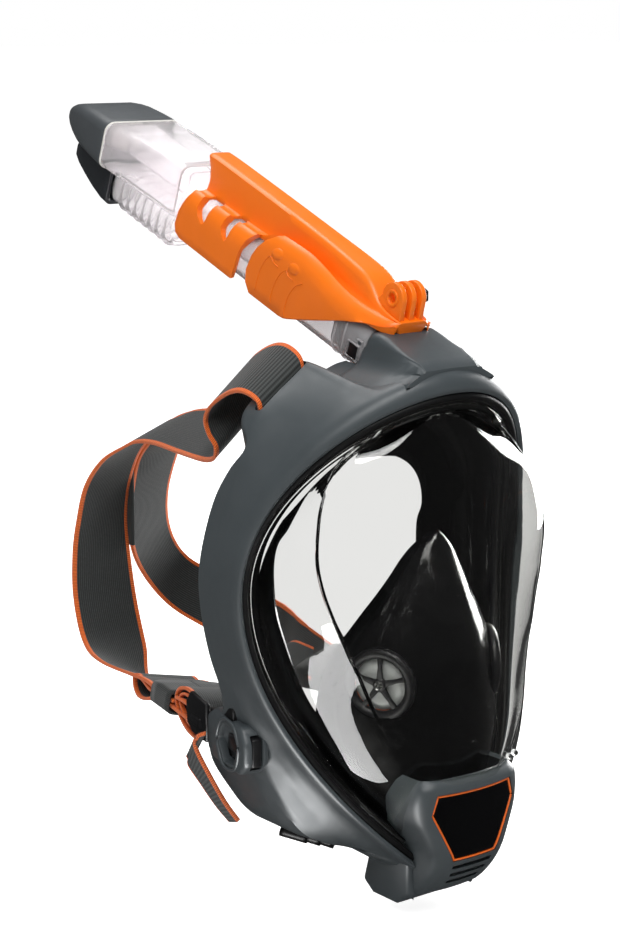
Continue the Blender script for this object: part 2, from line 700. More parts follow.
for side, word in ((-1, "right"), (1, "left")):
    hole = lathe("hole", [(0, -30), (16.6, -30), (16.6, 25), (0, 25)],
                 lambda a, b, h, s=side: valve_place(s, a, b, h), [SILICONE])
    cut(cup, hole)
    seat = lathe(f"valve_ring_{word}", [(13.4, -1.8), (14.2, -2.4), (17.6, -2.4), (18.4, -1.4), (18.4, 0.8),
                                        (17.2, 2.2), (15, 2.2), (13.4, 1.2)],
                 lambda a, b, h, s=side: valve_place(s, a, b, h), [BLACK], 64)
    piece(seat, "mask", [f"inhale_valve_seat_{word}"])
    hub = lathe(f"valve_hub_{word}", [(1.4, -1.2), (3.4, -1.2), (3.6, 0.8), (2.8, 1.6), (1.4, 1.6)],
                lambda a, b, h, s=side: valve_place(s, a, b, h), [BLACK])
    piece(hub, "mask")
    for i in range(5):
        turn = math.radians(90 + 72 * i)

        def spoke(a, b, h, s=side, turn=turn):
            return valve_place(s, a * math.cos(turn) - b * math.sin(turn),
                               a * math.sin(turn) + b * math.cos(turn), h)
        arm = prism(f"valve_spoke_{word}_{i + 1}",
                    [(2.4, -1.7), (9, -0.95), (14, -1.5), (14, 1.5), (9, 0.95), (2.4, 1.7)],
                    spoke, -1.0, 1.1, [BLACK])
        piece(soften(arm, 0.35, segments=2), "mask")
    body = f"inhale_valve_{word}"
    disc = lathe(f"valve_disc_{word}",
                 [(0, -2.6), (9, -2.5), (13.1, -2.2), (13.1, -1.7), (9, -1.8), (0, -1.9)],
                 lambda a, b, h, s=side: valve_place(s, a, b, h), [FLAP], 64)
    piece(disc, body)
    pin = lathe(f"valve_pin_{word}",
                [(0, -2), (1.2, -2), (1.2, 2.2), (2.1, 2.4), (2.1, 3.0), (1.1, 3.6), (0, 3.7)],
                lambda a, b, h, s=side: valve_place(s, a, b, h), [VALVE])
    piece(pin, body, [f"inhale_valve_disc_{word}"])
piece(cup, "mask", ["nose_cup"])

# ---------------------------------------------------------------- chin
CHIN_FRONT = [(-137, -72), (-134, -80), (-131, -86.5), (-120, -97), (-109, -103.5), (-100, -104.5),
              (-67, -104.5)]
CHIN_EDGE = [(-135, 19.5), (-131, 20.8), (-120, 21.6), (-108, 22.8), (-97, 27.6), (-88, 31.8), (-82, 32.8),
             (-77, 32.9), (-70, 31), (-67, 29)]


def chin_front(x, z):
    return along(CHIN_FRONT, z) + 0.0056 * x * x


def chin_row(z):
    w = along(CHIN_EDGE, z)
    tip = 1 - smooth(-71.5, -67, z)
    foot = smooth(-136, -131, z)
    drop = 3.2 * (1 - tip) + 2.0 * (1 - foot)
    side = [(w - 1.0, -71.0), (w, -78), (w, chin_front(w, z) + 6), (w - 0.25, chin_front(w, z) + 3.4),
            (w - 1.0, chin_front(w, z) + 1.6), (w - 2.4, chin_front(w, z) + 0.35),
            (w - 4.0, chin_front(w - 4, z))]
    inner = [((w - 4) * (1 - k / 7), chin_front((w - 4) * (1 - k / 7), z)) for k in range(1, 8)]
    half_row = side + inner
    row = half_row + [(-x, y) for x, y in reversed(half_row[:-1])]
    return [(x, min(y + drop, -71.0), z) for x, y in row]


heights = [-135.5, -134, -131, -127, -123, -119, -115, -111, -107, -103, -99, -95, -91, -87, -83,
           -79, -75, -72, -70,
           -68.6, -67.5, -66.9]
cover = sheet_of("chin_cover_shell", [chin_row(z) for z in heights], [GREY], cap=False)
thicken(cover, 2.6)
BADGE = [(22.5, -75.4), (25.5, -84), (12.5, -108.4), (-12.5, -108.4), (-25.5, -84), (-22.5, -75.4)]


def grown_badge(g):
    return [(x + math.copysign(g, x), z + (g if z > -80 else (-g if z < -100 else 0))) for x, z in BADGE]


recess = prism("recess", grown_badge(1.6), lambda a, b, d: (a, d, b), -120, -90, [GREY])
cut(cover, recess)
vents = [prism(f"vent_{i}", rounded_rect(26 - 2.5 * i, 2.4, 1.1),
               lambda a, b, d, i=i: (a, d, b - 114.6 - 5 * i + 0.006 * a * a),
               -115, -74, [GREY]) for i in range(3)]
cut(cover, *vents)
piece(cover, "mask", ["chin_cover"])


def plate(name, outline, out, back, mats, edge):
    """A plate that follows the chin's front: its outline, how far behind the front, its back."""
    n = 24
    xs = max(abs(x) for x, _ in outline)
    rows = []
    zs = [min(z for _, z in outline) + (max(z for _, z in outline) - min(z for _, z in outline)) * k / n
          for k in range(n + 1)]
    table = sorted({(z, x) for x, z in outline if x > 0})
    for z in zs:
        w = float(np.interp(z, [p[0] for p in table], [p[1] for p in table]))
        rows.append([(w * (-1 + 2 * j / 20), chin_front(w * (-1 + 2 * j / 20), z) + out,
                      z) for j in range(21)])
    obj = sheet_of(name, rows, mats)
    thicken(obj, back)
    return soften(obj, edge, segments=3)


floor_plate = plate("badge_floor", grown_badge(2.6), 2.6, 1.2, [BLACK], 0.2)
piece(floor_plate, "mask")
badge = plate("chin_badge_plate", BADGE, 0.7, 1.5, [GLOSS], 0.6)
piece(badge, "mask", ["chin_badge"])
loop = []
edge_points = grown_badge(0.75)
for i in range(6):
    a, b = edge_points[i], edge_points[(i + 1) % 6]
    loop += [(a[0] + (b[0] - a[0]) * k / 10, a[1] + (b[1] - a[1]) * k / 10) for k in range(10)]
trim = bead("chin_badge_line", [(x, chin_front(x, z) + 1.0, z) for x, z in loop], 0.62, [TRIM], closed=True)
piece(trim, "mask", ["chin_badge_trim"])

base_side = [(-80.5, -110), (-80.5, -133), (-70, -139.5), (-52, -139.5), (-44, -134), (-48, -120),
             (-58, -112)]
chin_block = prism("chin_base_block", base_side, lambda a, b, d: (d, a, b), -24.5, 24.5, [GREY])
piece(soften(chin_block, 2.4, segments=4), "mask", ["chin_base"])
for side in (-1, 1):
    for i in range(3):
        p = [(side * (57 - 5.5 * i), -18 - 4.5 * i, -108.5 - 1.2 * i),
             (side * (49 - 5.5 * i), -30 - 4 * i, -111 - 1.5 * i)]
        rib = bead(f"jaw_rib_{'right' if side < 0 else 'left'}_{i + 1}", spline(p, 6), 2.6, [RUBBER], 12)
        piece(rib, "mask")

# ---------------------------------------------------------------- hood
HOOD_TOP = [(-80.5, 132.4), (-79.4, 133.6), (-77, 135.3), (-72, 137.3), (-60, 142.2), (-49, 146.8),
            (-43, 147.4), (-40.4, 146.4), (-38.6, 143)]


def frame_top(x):
    """Height of the frame's crown under the hood."""
    return WIDE_Z + (RISE + 9) * math.sqrt(1 - (x / 95) ** 2)


def hood_half(y):
    z = along(HOOD_TOP, y) if y < -38.6 else 143 - (y + 38.6) * 2.9
    wide = 15.6 + 2.6 * smooth(-80, -64, y)
    foot = 27 + 9 * smooth(-78, -62, y)
    deep = 4.5 - 3.2 * smooth(-77, -81, y)
    pts = [(foot + 1, frame_top(foot + 1) - deep), (foot, frame_top(foot) - 0.6),
           (foot - 3.5, frame_top(foot - 3.5) + 0.3),
           (foot - 7, frame_top(foot - 7) + 1.2), (wide + 4.4, 131.6), (wide + 2.8, 135.5),
           (wide + 1.6, 140)]
    pts = [(x, min(h, z - 0.9 * (6 - i) / 6 - 0.9)) for i, (x, h) in enumerate(pts)]
    r = min(4.2, max((z - pts[-2][1]) * 0.5, 0.5))
    arc = [(wide + 1.2 - r * (1 - math.cos(math.radians(a))), z - r * (1 - math.sin(math.radians(a))))
           for a in (10, 30, 50, 70, 90)]
    return pts + arc + [(wide * 0.45, z + 0.2), (0, z + 0.3)]


hood_rows = []
for y in (-80.6, -79.9, -78.8, -77, -74.5, -71, -66, -60, -53, -47, -43, -41, -39.6, -38.2,
          -36, -34.4, -33.4):
    half_row = hood_half(y)
    hood_rows.append([(x, y, h) for x, h in half_row] + [(-x, y, h) for x, h in reversed(half_row[:-1])])
hood = sheet_of("snorkel_hood_shell", hood_rows, [GREY], cap=True)
room = prism("room", rounded_rect(36.8, 27.8, 9.3, 3.5), tube_place, -4.6, 60, [GREY])
cut(hood, room)
piece(hood, "mask", ["snorkel_hood"])

# ---------------------------------------------------------------- snorkel tube, housing, caps
def loft(name, loops, mats):
    return sheet_of(name, loops, mats, loop_v=True, cap=True)


def hollow(name, outer, inner, mats):
    """A tube with walls: outer loops along it, then inner loops back."""
    return sheet_of(name, outer + inner[::-1], mats, loop_u=True, loop_v=True)


def across(w, h, r, mid, u):
    return [sn(a, b, u) for a, b in rounded_rect(w, h, r, mid)]


tube = hollow("tube_shell", [across(36 - 0.9 * (k == 0), 27 - 0.9 * (k == 0), 9, 3.5, u) for k, u in
                             enumerate((-4, -3.4, 8, 24, 60, 100, 140, 167.4, 168))],
              [across(32, 23, 7, 3.5, u) for u in (-4, 8, 24, 60, 100, 140, 168)], [TUBE])
window = prism("window", rounded_rect(70, 8.4, 1.0, -0.5), tube_place, 0.4, 9.6, [TUBE])
arms = prism("window_arm", rounded_rect(70, 3.2, 0.8, 5.6), tube_place, -1.0, 3.4, [TUBE])
cut(tube, window, arms)
piece(tube, "snorkel", ["snorkel_tube"])
for i, u in enumerate((12.4, 20.2, 58.0)):
    rib = hollow(f"tube_rib_{i + 1}",
                 [across(36 + g, 27 + g, 9, 3.5, u + d) for g, d in ((0.2, -0.7), (0.9, -0.3),
                                                                                       (0.9,
                                                                                        0.3), (0.2, 0.7))],
                 [across(35.6, 26.6, 8.8, 3.5, u + d) for d in (-0.6, 0.6)], [TUBE])
    piece(rib, "snorkel")
band = hollow("o_ring_band", [across(31.6 + g, 22.6 + g, 7, 3.5, 16 + d) for g,
                              d in ((-0.6, -1.9), (0.2, -1.2), (0.2, 1.2),
                                                                                 (-0.6, 1.9))],
              [across(28, 19, 5, 3.5, 16 + d) for d in (-1.8, 1.8)], [RUBBER])
piece(band, "mask", ["neck_o_ring"])
for side, word in ((-1, "right"), (1, "left")):
    hook = prism(f"snap_button_{word}", rounded_rect(6.6, 7.2, 0.9),
                 lambda a, b, d, s=side: sn(s * (d + 11.2), b - 0.5, a + 5), 0, 6.2, [BLACK])
    piece(soften(hook, 0.6), f"snap_hook_{word}", [f"snap_hook_{word}"])
paint(GREY, "neck_spigot")
paint(TUBE, "air_divider", "housing_divider")

HOUSING = [(168.3, 36.5, 28.5, 5, 13.0), (169.2, 40.2, 32.0, 5.5, 13.3), (172, 41, 32.4, 5.5, 13.2),
           (190, 43.6, 31, 5.6, 12.9), (215, 47.4, 29.4, 5.8, 12.1), (236.0, 50, 27.4, 6, 11.3)]
housing = hollow("housing_shell", [across(w, h, r, m, u) for u, w, h, r, m in HOUSING],
                 [across(w - 4, h - 4, r - 1.6, m, max(u, 170.4)) for u, w, h, r, m in HOUSING[1:]], [TUBE])
piece(housing, "snorkel", ["snorkel_housing"])
ribs = []
for i in range(7):
    u = 183 + 7.6 * i
    ribs += [(u - 1.2, 0), (u - 0.4, 1.8), (u + 0.8, 2.8), (u + 2.0, 1.8), (u + 2.8, 0), (u + 4.4, 0)]
CHAMBER = [(179.4, -2.5), (180.4, -0.6)] + ribs + [(238.8, 0)]
chamber = hollow("drain_chamber_shell",
                 [across(22.4 + g, 22.6 + 0.6 * g, 8.5, -14.8, u) for u, g in CHAMBER],
                 [across(18 + 0.8 * g, 18.8 + 0.4 * g, 7, -14.8, min(max(u, 181.4), 238.8)) for u,
                  g in CHAMBER], [TUBE])
piece(chamber, "snorkel", ["drain_chamber"])
seam = hollow("cap_seam", [across(50.8, 28.0, 6, 11.3, u) for u in (236.3, 237.2)],
              [across(47, 24, 5, 11.3, u) for u in (236.3, 237.2)], [WHITE])
piece(seam, "snorkel")
TOP_CAP = [(237.0, 50.2, 27.2, 6, 11.3), (237.6, 51.2, 28.0, 6.4, 11.3), (241, 51.2, 27.8, 6.4, 11.3),
           (250, 50.2, 26.8, 6.4, 11.3), (261, 48.4, 25.0, 6.2, 11.2), (268, 46.2, 22.8, 6, 11.1),
           (275, 43.0, 19.2, 5.6, 11.0), (281, 39.4, 14.6, 5, 10.6), (285, 36.0, 10.6, 4.5, 10.3),
           (286.9, 32, 6.6, 3, 10.1)]
top_cap = hollow("top_cap_shell", [across(w, h, r, m, u) for u, w, h, r, m in TOP_CAP],
                 [across(w - 5, h - 5, r - 2, m, u - 2.4 if u > 280 else u) for u, w, h, r,
                  m in TOP_CAP[:-1]], [CAP])
lid = loft("top_cap_lid", [across(32, 6.6, 3, 10.1, 286.9), across(27, 3.6, 1.6, 10.1, 287.1),
                           across(12, 1.6, 0.7, 10.1, 287.2)], [CAP])
piece(lid, "snorkel")
piece(top_cap, "snorkel", ["top_cap"])
LOW_CAP = [(239.2, 28.2, 23.2, 4, -14.8), (239.8, 29, 24.0, 4.4, -14.8), (246, 29, 23.6, 4.4, -14.6),
           (257, 28.0, 20.8, 4.2, -13.4), (267, 26.8, 17.2, 4, -12.0), (275, 25.6, 13.8, 3.6, -10.6),
           (279.8, 24, 11.0, 3.4, -9.6), (281.2, 20.5, 7.5, 2.6, -9.4)]
low_cap = hollow("lower_cap_shell", [across(w, h, r, m, u) for u, w, h, r, m in LOW_CAP],
                 [across(w - 4.4, h - 4.4, r - 1.5, m, u - 2.6 if u > 270 else u) for u, w, h, r,
                  m in LOW_CAP[:-1]],
                 [CAP_DARK])
low_lid = loft("lower_cap_lid",
               [across(20.5, 7.5, 2.6, -9.4, 281.2), across(8, 2.6, 1.0, -9.4, 281.4)], [CAP_DARK])
piece(low_lid, "snorkel")
piece(low_cap, "snorkel", ["lower_cap"])
plate = prism("guide_plate", rounded_rect(43, 21, 4, 11.3), tube_place, 238.6, 240.6, [TUBE])
slot = prism("guide_hole", rounded_rect(14, 5, 2, 18.4), tube_place, 230, 250, [TUBE])
cut(plate, slot)
piece(plate, "snorkel", ["float_guide_rod"])


def float_place(a, b, h):
    return sn(a, 11.3 + b, h)


rod = lathe("guide_rod", [(0, 240.6), (1.5, 240.6), (1.5, 267), (0.9, 268), (0, 268)],
            float_place, [WHITE], 24)
piece(rod, "snorkel")
ball = lathe("float_body", [(1.7, 243), (6.4, 243), (7.8, 244), (8.2, 246), (8.2, 255), (7.8, 257),
                            (6.6, 258), (1.7, 258)],
             float_place, [WHITE], 40)
piece(ball, "float", ["float"])
washer = lathe("float_washer", [(2.2, 258), (7.4, 258), (7.6, 258.8), (7.2, 259.6), (2.2, 259.6)],
               float_place, [RUBBER], 40)
piece(washer, "float", ["float_seal"])
paint(FLAP, "exhaust_flap", "purge_valve_disc")
paint(BLACK, "purge_valve_seat")

# ---------------------------------------------------------------- camera clip
PAD_TOP = [(-15, 23.2), (0, 22.8), (13, 23.0), (27, 25), (40, 28), (52, 29.8), (64, 29.8), (82, 28.6),
           (88, 27), (94, 22.6), (100, 19.9), (168, 19.7)]
LOW_EDGE = [(-15, 21.4), (-9, 19.2), (0, 17), (14.4, 11.5), (26, 6), (37.8, 0.4), (48, -4.3), (57, -8.2),
            (62, -9), (168, -9)]
HALF = [(-15, 10.6), (-13, 13.4), (-9, 15.6), (0, 17.4), (14, 19.2), (30, 20.4), (50, 21), (168, 21)]
GULLY = [(-15, 22.6), (-4, 22.0), (14, 21.0), (30, 21), (60, 21.0), (90, 20), (100, 19.3), (168, 19.3)]
BEAM_TOP = [(-15, 23.6), (-6, 24.0), (2, 25.2), (8, 28.8), (14, 32.6), (22, 34.8), (60, 36.6), (150, 38),
            (168, 37.6)]
BEAM_HALF = [(-15, 8), (8, 9.2), (30, 8.8), (60, 7.9), (168, 7.6)]


def clip_half(u):
    """Outer then inner points of the clip's section, from its right lower edge to the middle."""
    top, low, w = along(PAD_TOP, u), along(LOW_EDGE, u), along(HALF, u)
    gully, beam, bw = along(GULLY, u), along(BEAM_TOP, u), along(BEAM_HALF, u)
    k = w / 21
    side_top = max(top - 9.5, low + 0.6)
    pts = [(w - 2.0 * k, low), (w - 0.5, low - 0.1), (w, low + 0.5 * min(1, side_top - low))]
    pts += [(w, low + (side_top - low) * q) for q in (0.25, 0.5, 0.75, 1.0)]
    pts += [(w - 0.7 * k, top - 6), (w - 2.0 * k, top - 3.1), (w - 3.8 * k, top - 0.9), (w - 5.4 * k, top),
            (w - 6.8 * k, top - 0.8)]
    gx = min(bw + 2.2, w - 7.6 * k)
    gy = min(gully, top - 0.6)
    pts += [(gx + 0.9, (gy + top) / 2 - 0.6), (gx, gy + 0.4), (gx - 0.9, gy),
            (min(bw + 0.9, gx - 1.4), gy + (0.5 + 1.6 * smooth(30, 90, u)) * (beam > gy + 3))]
    rise = max(beam - gy, 0.4)
    pts += [(bw + 0.35, gy + rise * 0.3), (bw, gy + rise * 0.72), (bw - 0.5, beam - min(1.2, rise * 0.15)),
            (bw - 1.7, beam - 0.12), (bw - 3.2, beam), (bw * 0.3, beam + 0.05), (0, beam + 0.05)]
    roof = max(min(17.4, gy - 2.0), 17.3)
    inner = [(0, roof), (bw, roof), (12.5 * k, max(min(17.2, top - 2.4), min(low + 0.3, 17.2))),
             (w - 3.4 * k, max(min(13.5, side_top), low + 0.25)),
             (w - 2.4 * k, max(min(9.0, side_top), low + 0.2)),
             (w - 2.4 * k, low + 0.15)]
    return pts, inner


clip_rows = []
for u in [-14.6, -14, -13, -11.5, -9, -6, -2, 2, 5, 8, 11, 14, 18, 22, 27, 32, 38, 44, 50, 55, 58, 62,
          68, 74, 80, 84, 87,
          90, 92, 94, 96, 98, 101, 105, 110, 118, 126, 134, 142, 150, 156, 160, 163.5]:
    outer, inner = clip_half(u)
    row = [(x, v) for x, v in outer] + [(-x, v) for x, v in reversed(outer[:-1])]
    row += [(-x, v) for x, v in reversed(inner)] + inner[1:]
    clip_rows.append([sn(-x, v, u) for x, v in row])
clip = sheet_of("camera_clip_shell", clip_rows, [ORANGE], loop_v=True, cap=True)
# The openings between the arms, round the sleeve: outward, height, the way the wall faces, then how far
# the opening reaches forward and back.
WINDOW_1 = [(21, 7.4, 0, 139.2, 140.8), (21, 9.2, 0, 137.7, 142.9), (20.9, 11, 5, 137.0, 145.2),
            (20.5, 13, 15, 136.9, 146.4), (19.6, 15.4, 32, 136.6, 147.1), (18, 17.6, 50, 136.4, 147.4),
            (16, 19.1, 68, 136.1, 147.5), (14, 19.7, 82, 136.2, 147.6), (12, 19.8, 88, 136.5, 147.6),
            (10.4, 20.0, 84, 136.9, 147.4), (9.2, 20.4, 78, 137.6, 146.8)]
WINDOW_2 = [(x, v, a, p - 21.2 - 0.5 * k / 10, q - 22.6 - 2.2 * k / 10) for k,
            (x, v, a, p, q) in enumerate(WINDOW_1)]


def opening_row(side, x, v, facing, front, back):
    nx, nv = math.cos(math.radians(facing)), math.sin(math.radians(facing))
    return [sn(side * (x + nx * d), v + nv * d, u) for d,
            u in ((-8, front), (8, front), (8, back), (-8, back))]


GAP = [(58, 40), (71, 32.1), (79, 28), (84.9, 23.3), (89.8, 17), (92.9, 10.7), (94.9, 1.8), (93.4, -4.5),
       (89, -8.5), (84, -16), (112, -16), (105.8, -8), (105.2, -3), (104.3, 6.3), (101.2, 15.7),
       (97, 21.4), (92.1, 25.8), (85, 29.3), (78.4, 31.1), (66, 40)]
TAIL = [(163.5, 46), (162.5, 36.5), (158.6, 31), (156.6, 25), (156.6, 18), (159, 11), (161.5, 5),
        (162.6, -3), (160.5, -7), (154, -9.6), (154, -16), (185, -16), (185, 46)]
cutters = []
for side in (-1, 1):
    for i, shape in enumerate((WINDOW_1, WINDOW_2)):
        rows = [opening_row(side, *row) for row in shape]
        cutters.append(sheet_of(f"w{i}_{side}", rows, [ORANGE], loop_v=True, cap=True))
    cutters.append(prism(f"gap_{side}", GAP, lambda a, b, d, s=side: sn(s * d, b, a), 12.4, 30, [ORANGE]))
cutters.append(prism("tail", TAIL, lambda a, b, d: sn(d, b, a), -40, 40, [ORANGE]))
cut(clip, *cutters)
soften(clip, 0.5, angle=50, segments=2)
piece(clip, "snorkel", ["camera_clip"])


def pad_point(u, v, proud=0.0):
    """A point on the right wing pad."""
    w, top = along(HALF, u), along(PAD_TOP, u)
    k = w / 21
    edge = [(-50, w), (top - 9.5, w), (top - 6, w - 0.7 * k), (top - 3.1, w - 2.0 * k),
            (top - 0.9, w - 3.8 * k), (top, w - 5.4 * k)]
    x = float(np.interp(v, [p[0] for p in edge], [p[1] for p in edge]))
    return np.array((-(x + proud), *sn(0, v, u)[1:]))


FINGERS = [[(84.2, -5), (84.2, 3), (82.2, 11), (79.2, 16.5), (75.5, 19.2)],
           [(70.5, -6.2), (70.6, 2), (68.6, 9.5), (65.4, 14.6), (61.6, 17.4)],
           [(57.6, -7.4), (58, 0), (56.4, 7), (53.4, 12), (49, 15.6)],
           [(77.8, 17.6), (74.4, 15.4), (70.2, 14.8)], [(63.4, 16.2), (60.4, 14.0), (56.2, 13.6)]]
for side in (-1, 1):
    flip = np.array((side * -1, 1, 1))
    for i, line in enumerate(FINGERS):
        path = [pad_point(p[0], p[1]) * flip for p in spline(line, 8)]
        mark = bead(f"pad_line_{'right' if side < 0 else 'left'}_{i + 1}", path, 0.36, [ORANGE])
        piece(mark, "snorkel")
    for i, (cu, cv) in enumerate(((72.8, 20.8), (57.8, 19.4))):
        rows = []
        for r in (0.02, 0.4, 0.7, 0.9, 1.0, 1.06):
            rows.append([pad_point(cu + r * (4.7 * math.cos(a) + 1.2 * math.sin(a)),
                                   cv + r * (3.0 * math.sin(a) - 1.6 * math.cos(a)),
                                   0.75 * (1 - r ** 4) if r < 1 else -0.2) * flip
                         for a in [2 * math.pi * k / 28 for k in range(28)]])
        nail = sheet_of(f"pad_nail_{'right' if side < 0 else 'left'}_{i + 1}", rows, [ORANGE],
                        loop_v=True, cap=True)
        piece(nail, "snorkel")

PRONG_U, PRONG_V, PRONG_R = -3.9, 32.1, 8.0
prong_outline = [(PRONG_U + PRONG_R * math.cos(math.radians(a)),
                  PRONG_V + PRONG_R * math.sin(math.radians(a)))
                 for a in range(-8, 181, 9)]
prong_outline += [(-12.3, 27.5), (-12.9, 23.2), (9.6, 23.6), (7.4, 26), (5.0, 29.5)]
for i in range(3):
    x = 6.2 * (i - 1)
    prong = prism(f"mount_prong_{i + 1}", prong_outline, lambda a, b, d, x=x: sn(x + d, b, a),
                  -1.55, 1.55, [ORANGE])
    bore = lathe("bore", [(0, -9), (2.6, -9), (2.6, 9), (0, 9)],
                 lambda a, b, h, x=x: sn(x + h, PRONG_V + b, PRONG_U + a), [ORANGE], 32)
    cut(prong, bore)
    piece(soften(prong, 0.55, angle=40), "snorkel")
boss = lathe("mount_boss", [(2.6, 0), (4.1, 0), (4.4, -0.4), (4.4, -1.4), (2.6, -1.4)],
             lambda a, b, h: sn(-7.75 - h * 0.4 - 0.5, PRONG_V + b, PRONG_U + a), [ORANGE], 32)
piece(boss, "snorkel")
paint(STEEL, "camera_mount_nut")

# ---------------------------------------------------------------- straps
COLUMNS = [0, 0.02, 0.05, 0.062, 0.15, 0.3, 0.5, 0.7, 0.85, 0.938, 0.95, 0.98, 1]


def webbing(name, stations, steps=10, wall=1.7, columns=COLUMNS, start=1.0):
    """A strap through pairs of edge points, with stitched edges."""
    pairs = spline([np.concatenate((np.asarray(a, float), np.asarray(b, float))) for a,
                    b in stations], steps)
    rows, uv, run, last = [], [], start, None
    for p in pairs:
        a, b = p[:3], p[3:]
        c = (a + b) / 2
        run += 0 if last is None else float(np.linalg.norm(c - last))
        last = c
        rows.append([a + (b - a) * k for k in columns])
        uv.append([(run * MM, k * float(np.linalg.norm(b - a)) * MM) for k in columns])
    n = len(columns)

    def is_edge(_, j):
        return 1 if columns[j] < 0.055 or columns[j + 1] > 0.945 else 0
    obj = sheet_of(name, rows, [WEB, WEB_EDGE], marks=is_edge, uv=uv)
    mod = obj.modifiers.new("wall", "SOLIDIFY")
    mod.thickness, mod.offset = wall * MM, 0.0
    mod.material_offset_rim = 0
    return bake(obj)


UPPER = [((-70.3, -19.5, 108), (-43.3, -19.5, 127)), ((-71.2, -17.6, 115.2), (-42.8, -16.8, 135)),
         ((-71, -5, 118.2), (-41.4, -4, 139)), ((-70, 9, 115), (-40.4, 10, 137)),
         ((-68, 26, 106), (-38.8, 27, 129)), ((-66.4, 33.0, 98), (-37.4, 34.4, 121)),
         ((-66, 31, 91), (-36.4, 32, 114)), ((-65.8, 25.5, 85.5), (-36, 27, 108.5)),
         ((-64.5, 27, 80), (-34.5, 29, 103)), ((-62, 35, 76.4), (-32, 38, 99)),
         ((-58, 50, 74), (-27, 53, 96)), ((-48, 85, 71.5), (-16, 88, 91)),
         ((-38, 122, 69.5), (-5, 126, 84)), ((-34, 145, 66.5), (-1.2, 148, 77)),
         ((-33, 160, 61), (-1.2, 165, 70)), ((-34, 181, 50), (-1.2, 188, 54)),
         ((-36, 196, 33), (-1.2, 201, 33)), ((-38, 202, 12), (-1.2, 206, 12)),
         ((-40, 204, -8), (-1.2, 204, -9)), ((-41.5, 202, -33), (-3, 194, -39.5)),
         ((-44, 189, -56), (-8, 177, -63)), ((-50, 161, -61), (-20, 152, -78))]
FAR_BACK = [((-34, 150, 66), (-1.2, 154, 76)), ((-34, 172, 60), (-1.2, 178, 62)),
            ((-36, 198, 54), (-1.2, 196, 46)), ((-40, 213, 40), (-1.2, 203, 30)),
            ((-38.5, 220, 20), (-1.2, 206, 12)), ((-38.5, 221.5, 2), (-1.2, 205, -9)),
            ((-42, 220, -13), (-14, 212, -30)), ((-50, 217, -25), (-33, 214, -52)),
            ((-60, 206, -33), (-50, 204, -66)), ((-70, 182, -39), (-64, 180, -75)),
            ((-74, 150, -45), (-66, 148, -80)), ((-70, 125, -50), (-56, 120, -76))]
for side, word in ((-1, "right"), (1, "left")):
    course = UPPER if side < 0 else UPPER[:13] + FAR_BACK
    stations = [((-side * a[0], a[1], a[2]), (-side * b[0], b[1], b[2])) for a, b in course]
    stations += [(wb(side, 0, 18.5, w),
                  wb(side, 0, -18.5, w)) for w in ((122, 104, 88, 76) if side < 0 else (96, 84, 76))]
    strap = webbing(f"head_strap_{word}", stations)
    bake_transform(strap)
    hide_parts(f"strap_{word}")
tape = prism("back_tape", rounded_rect(2.2, 6.2, 0.8, 203.2), lambda a, b, d: (a, b, d), -8, 48, [WEB])
piece(soften(tape, 0.4), "mask", ["strap_back_tape"])


def folded(name, side, path, half, wall=1.6, mid=0.0, steps=6):
    """Level webbing whose outer edge follows a path of (down, along) behind the buckle."""
    return webbing(name,
                   [(wb(side, d, mid + half, z), wb(side, d, mid - half, z)) for d, z in path], steps, wall,
                   start=60.0)


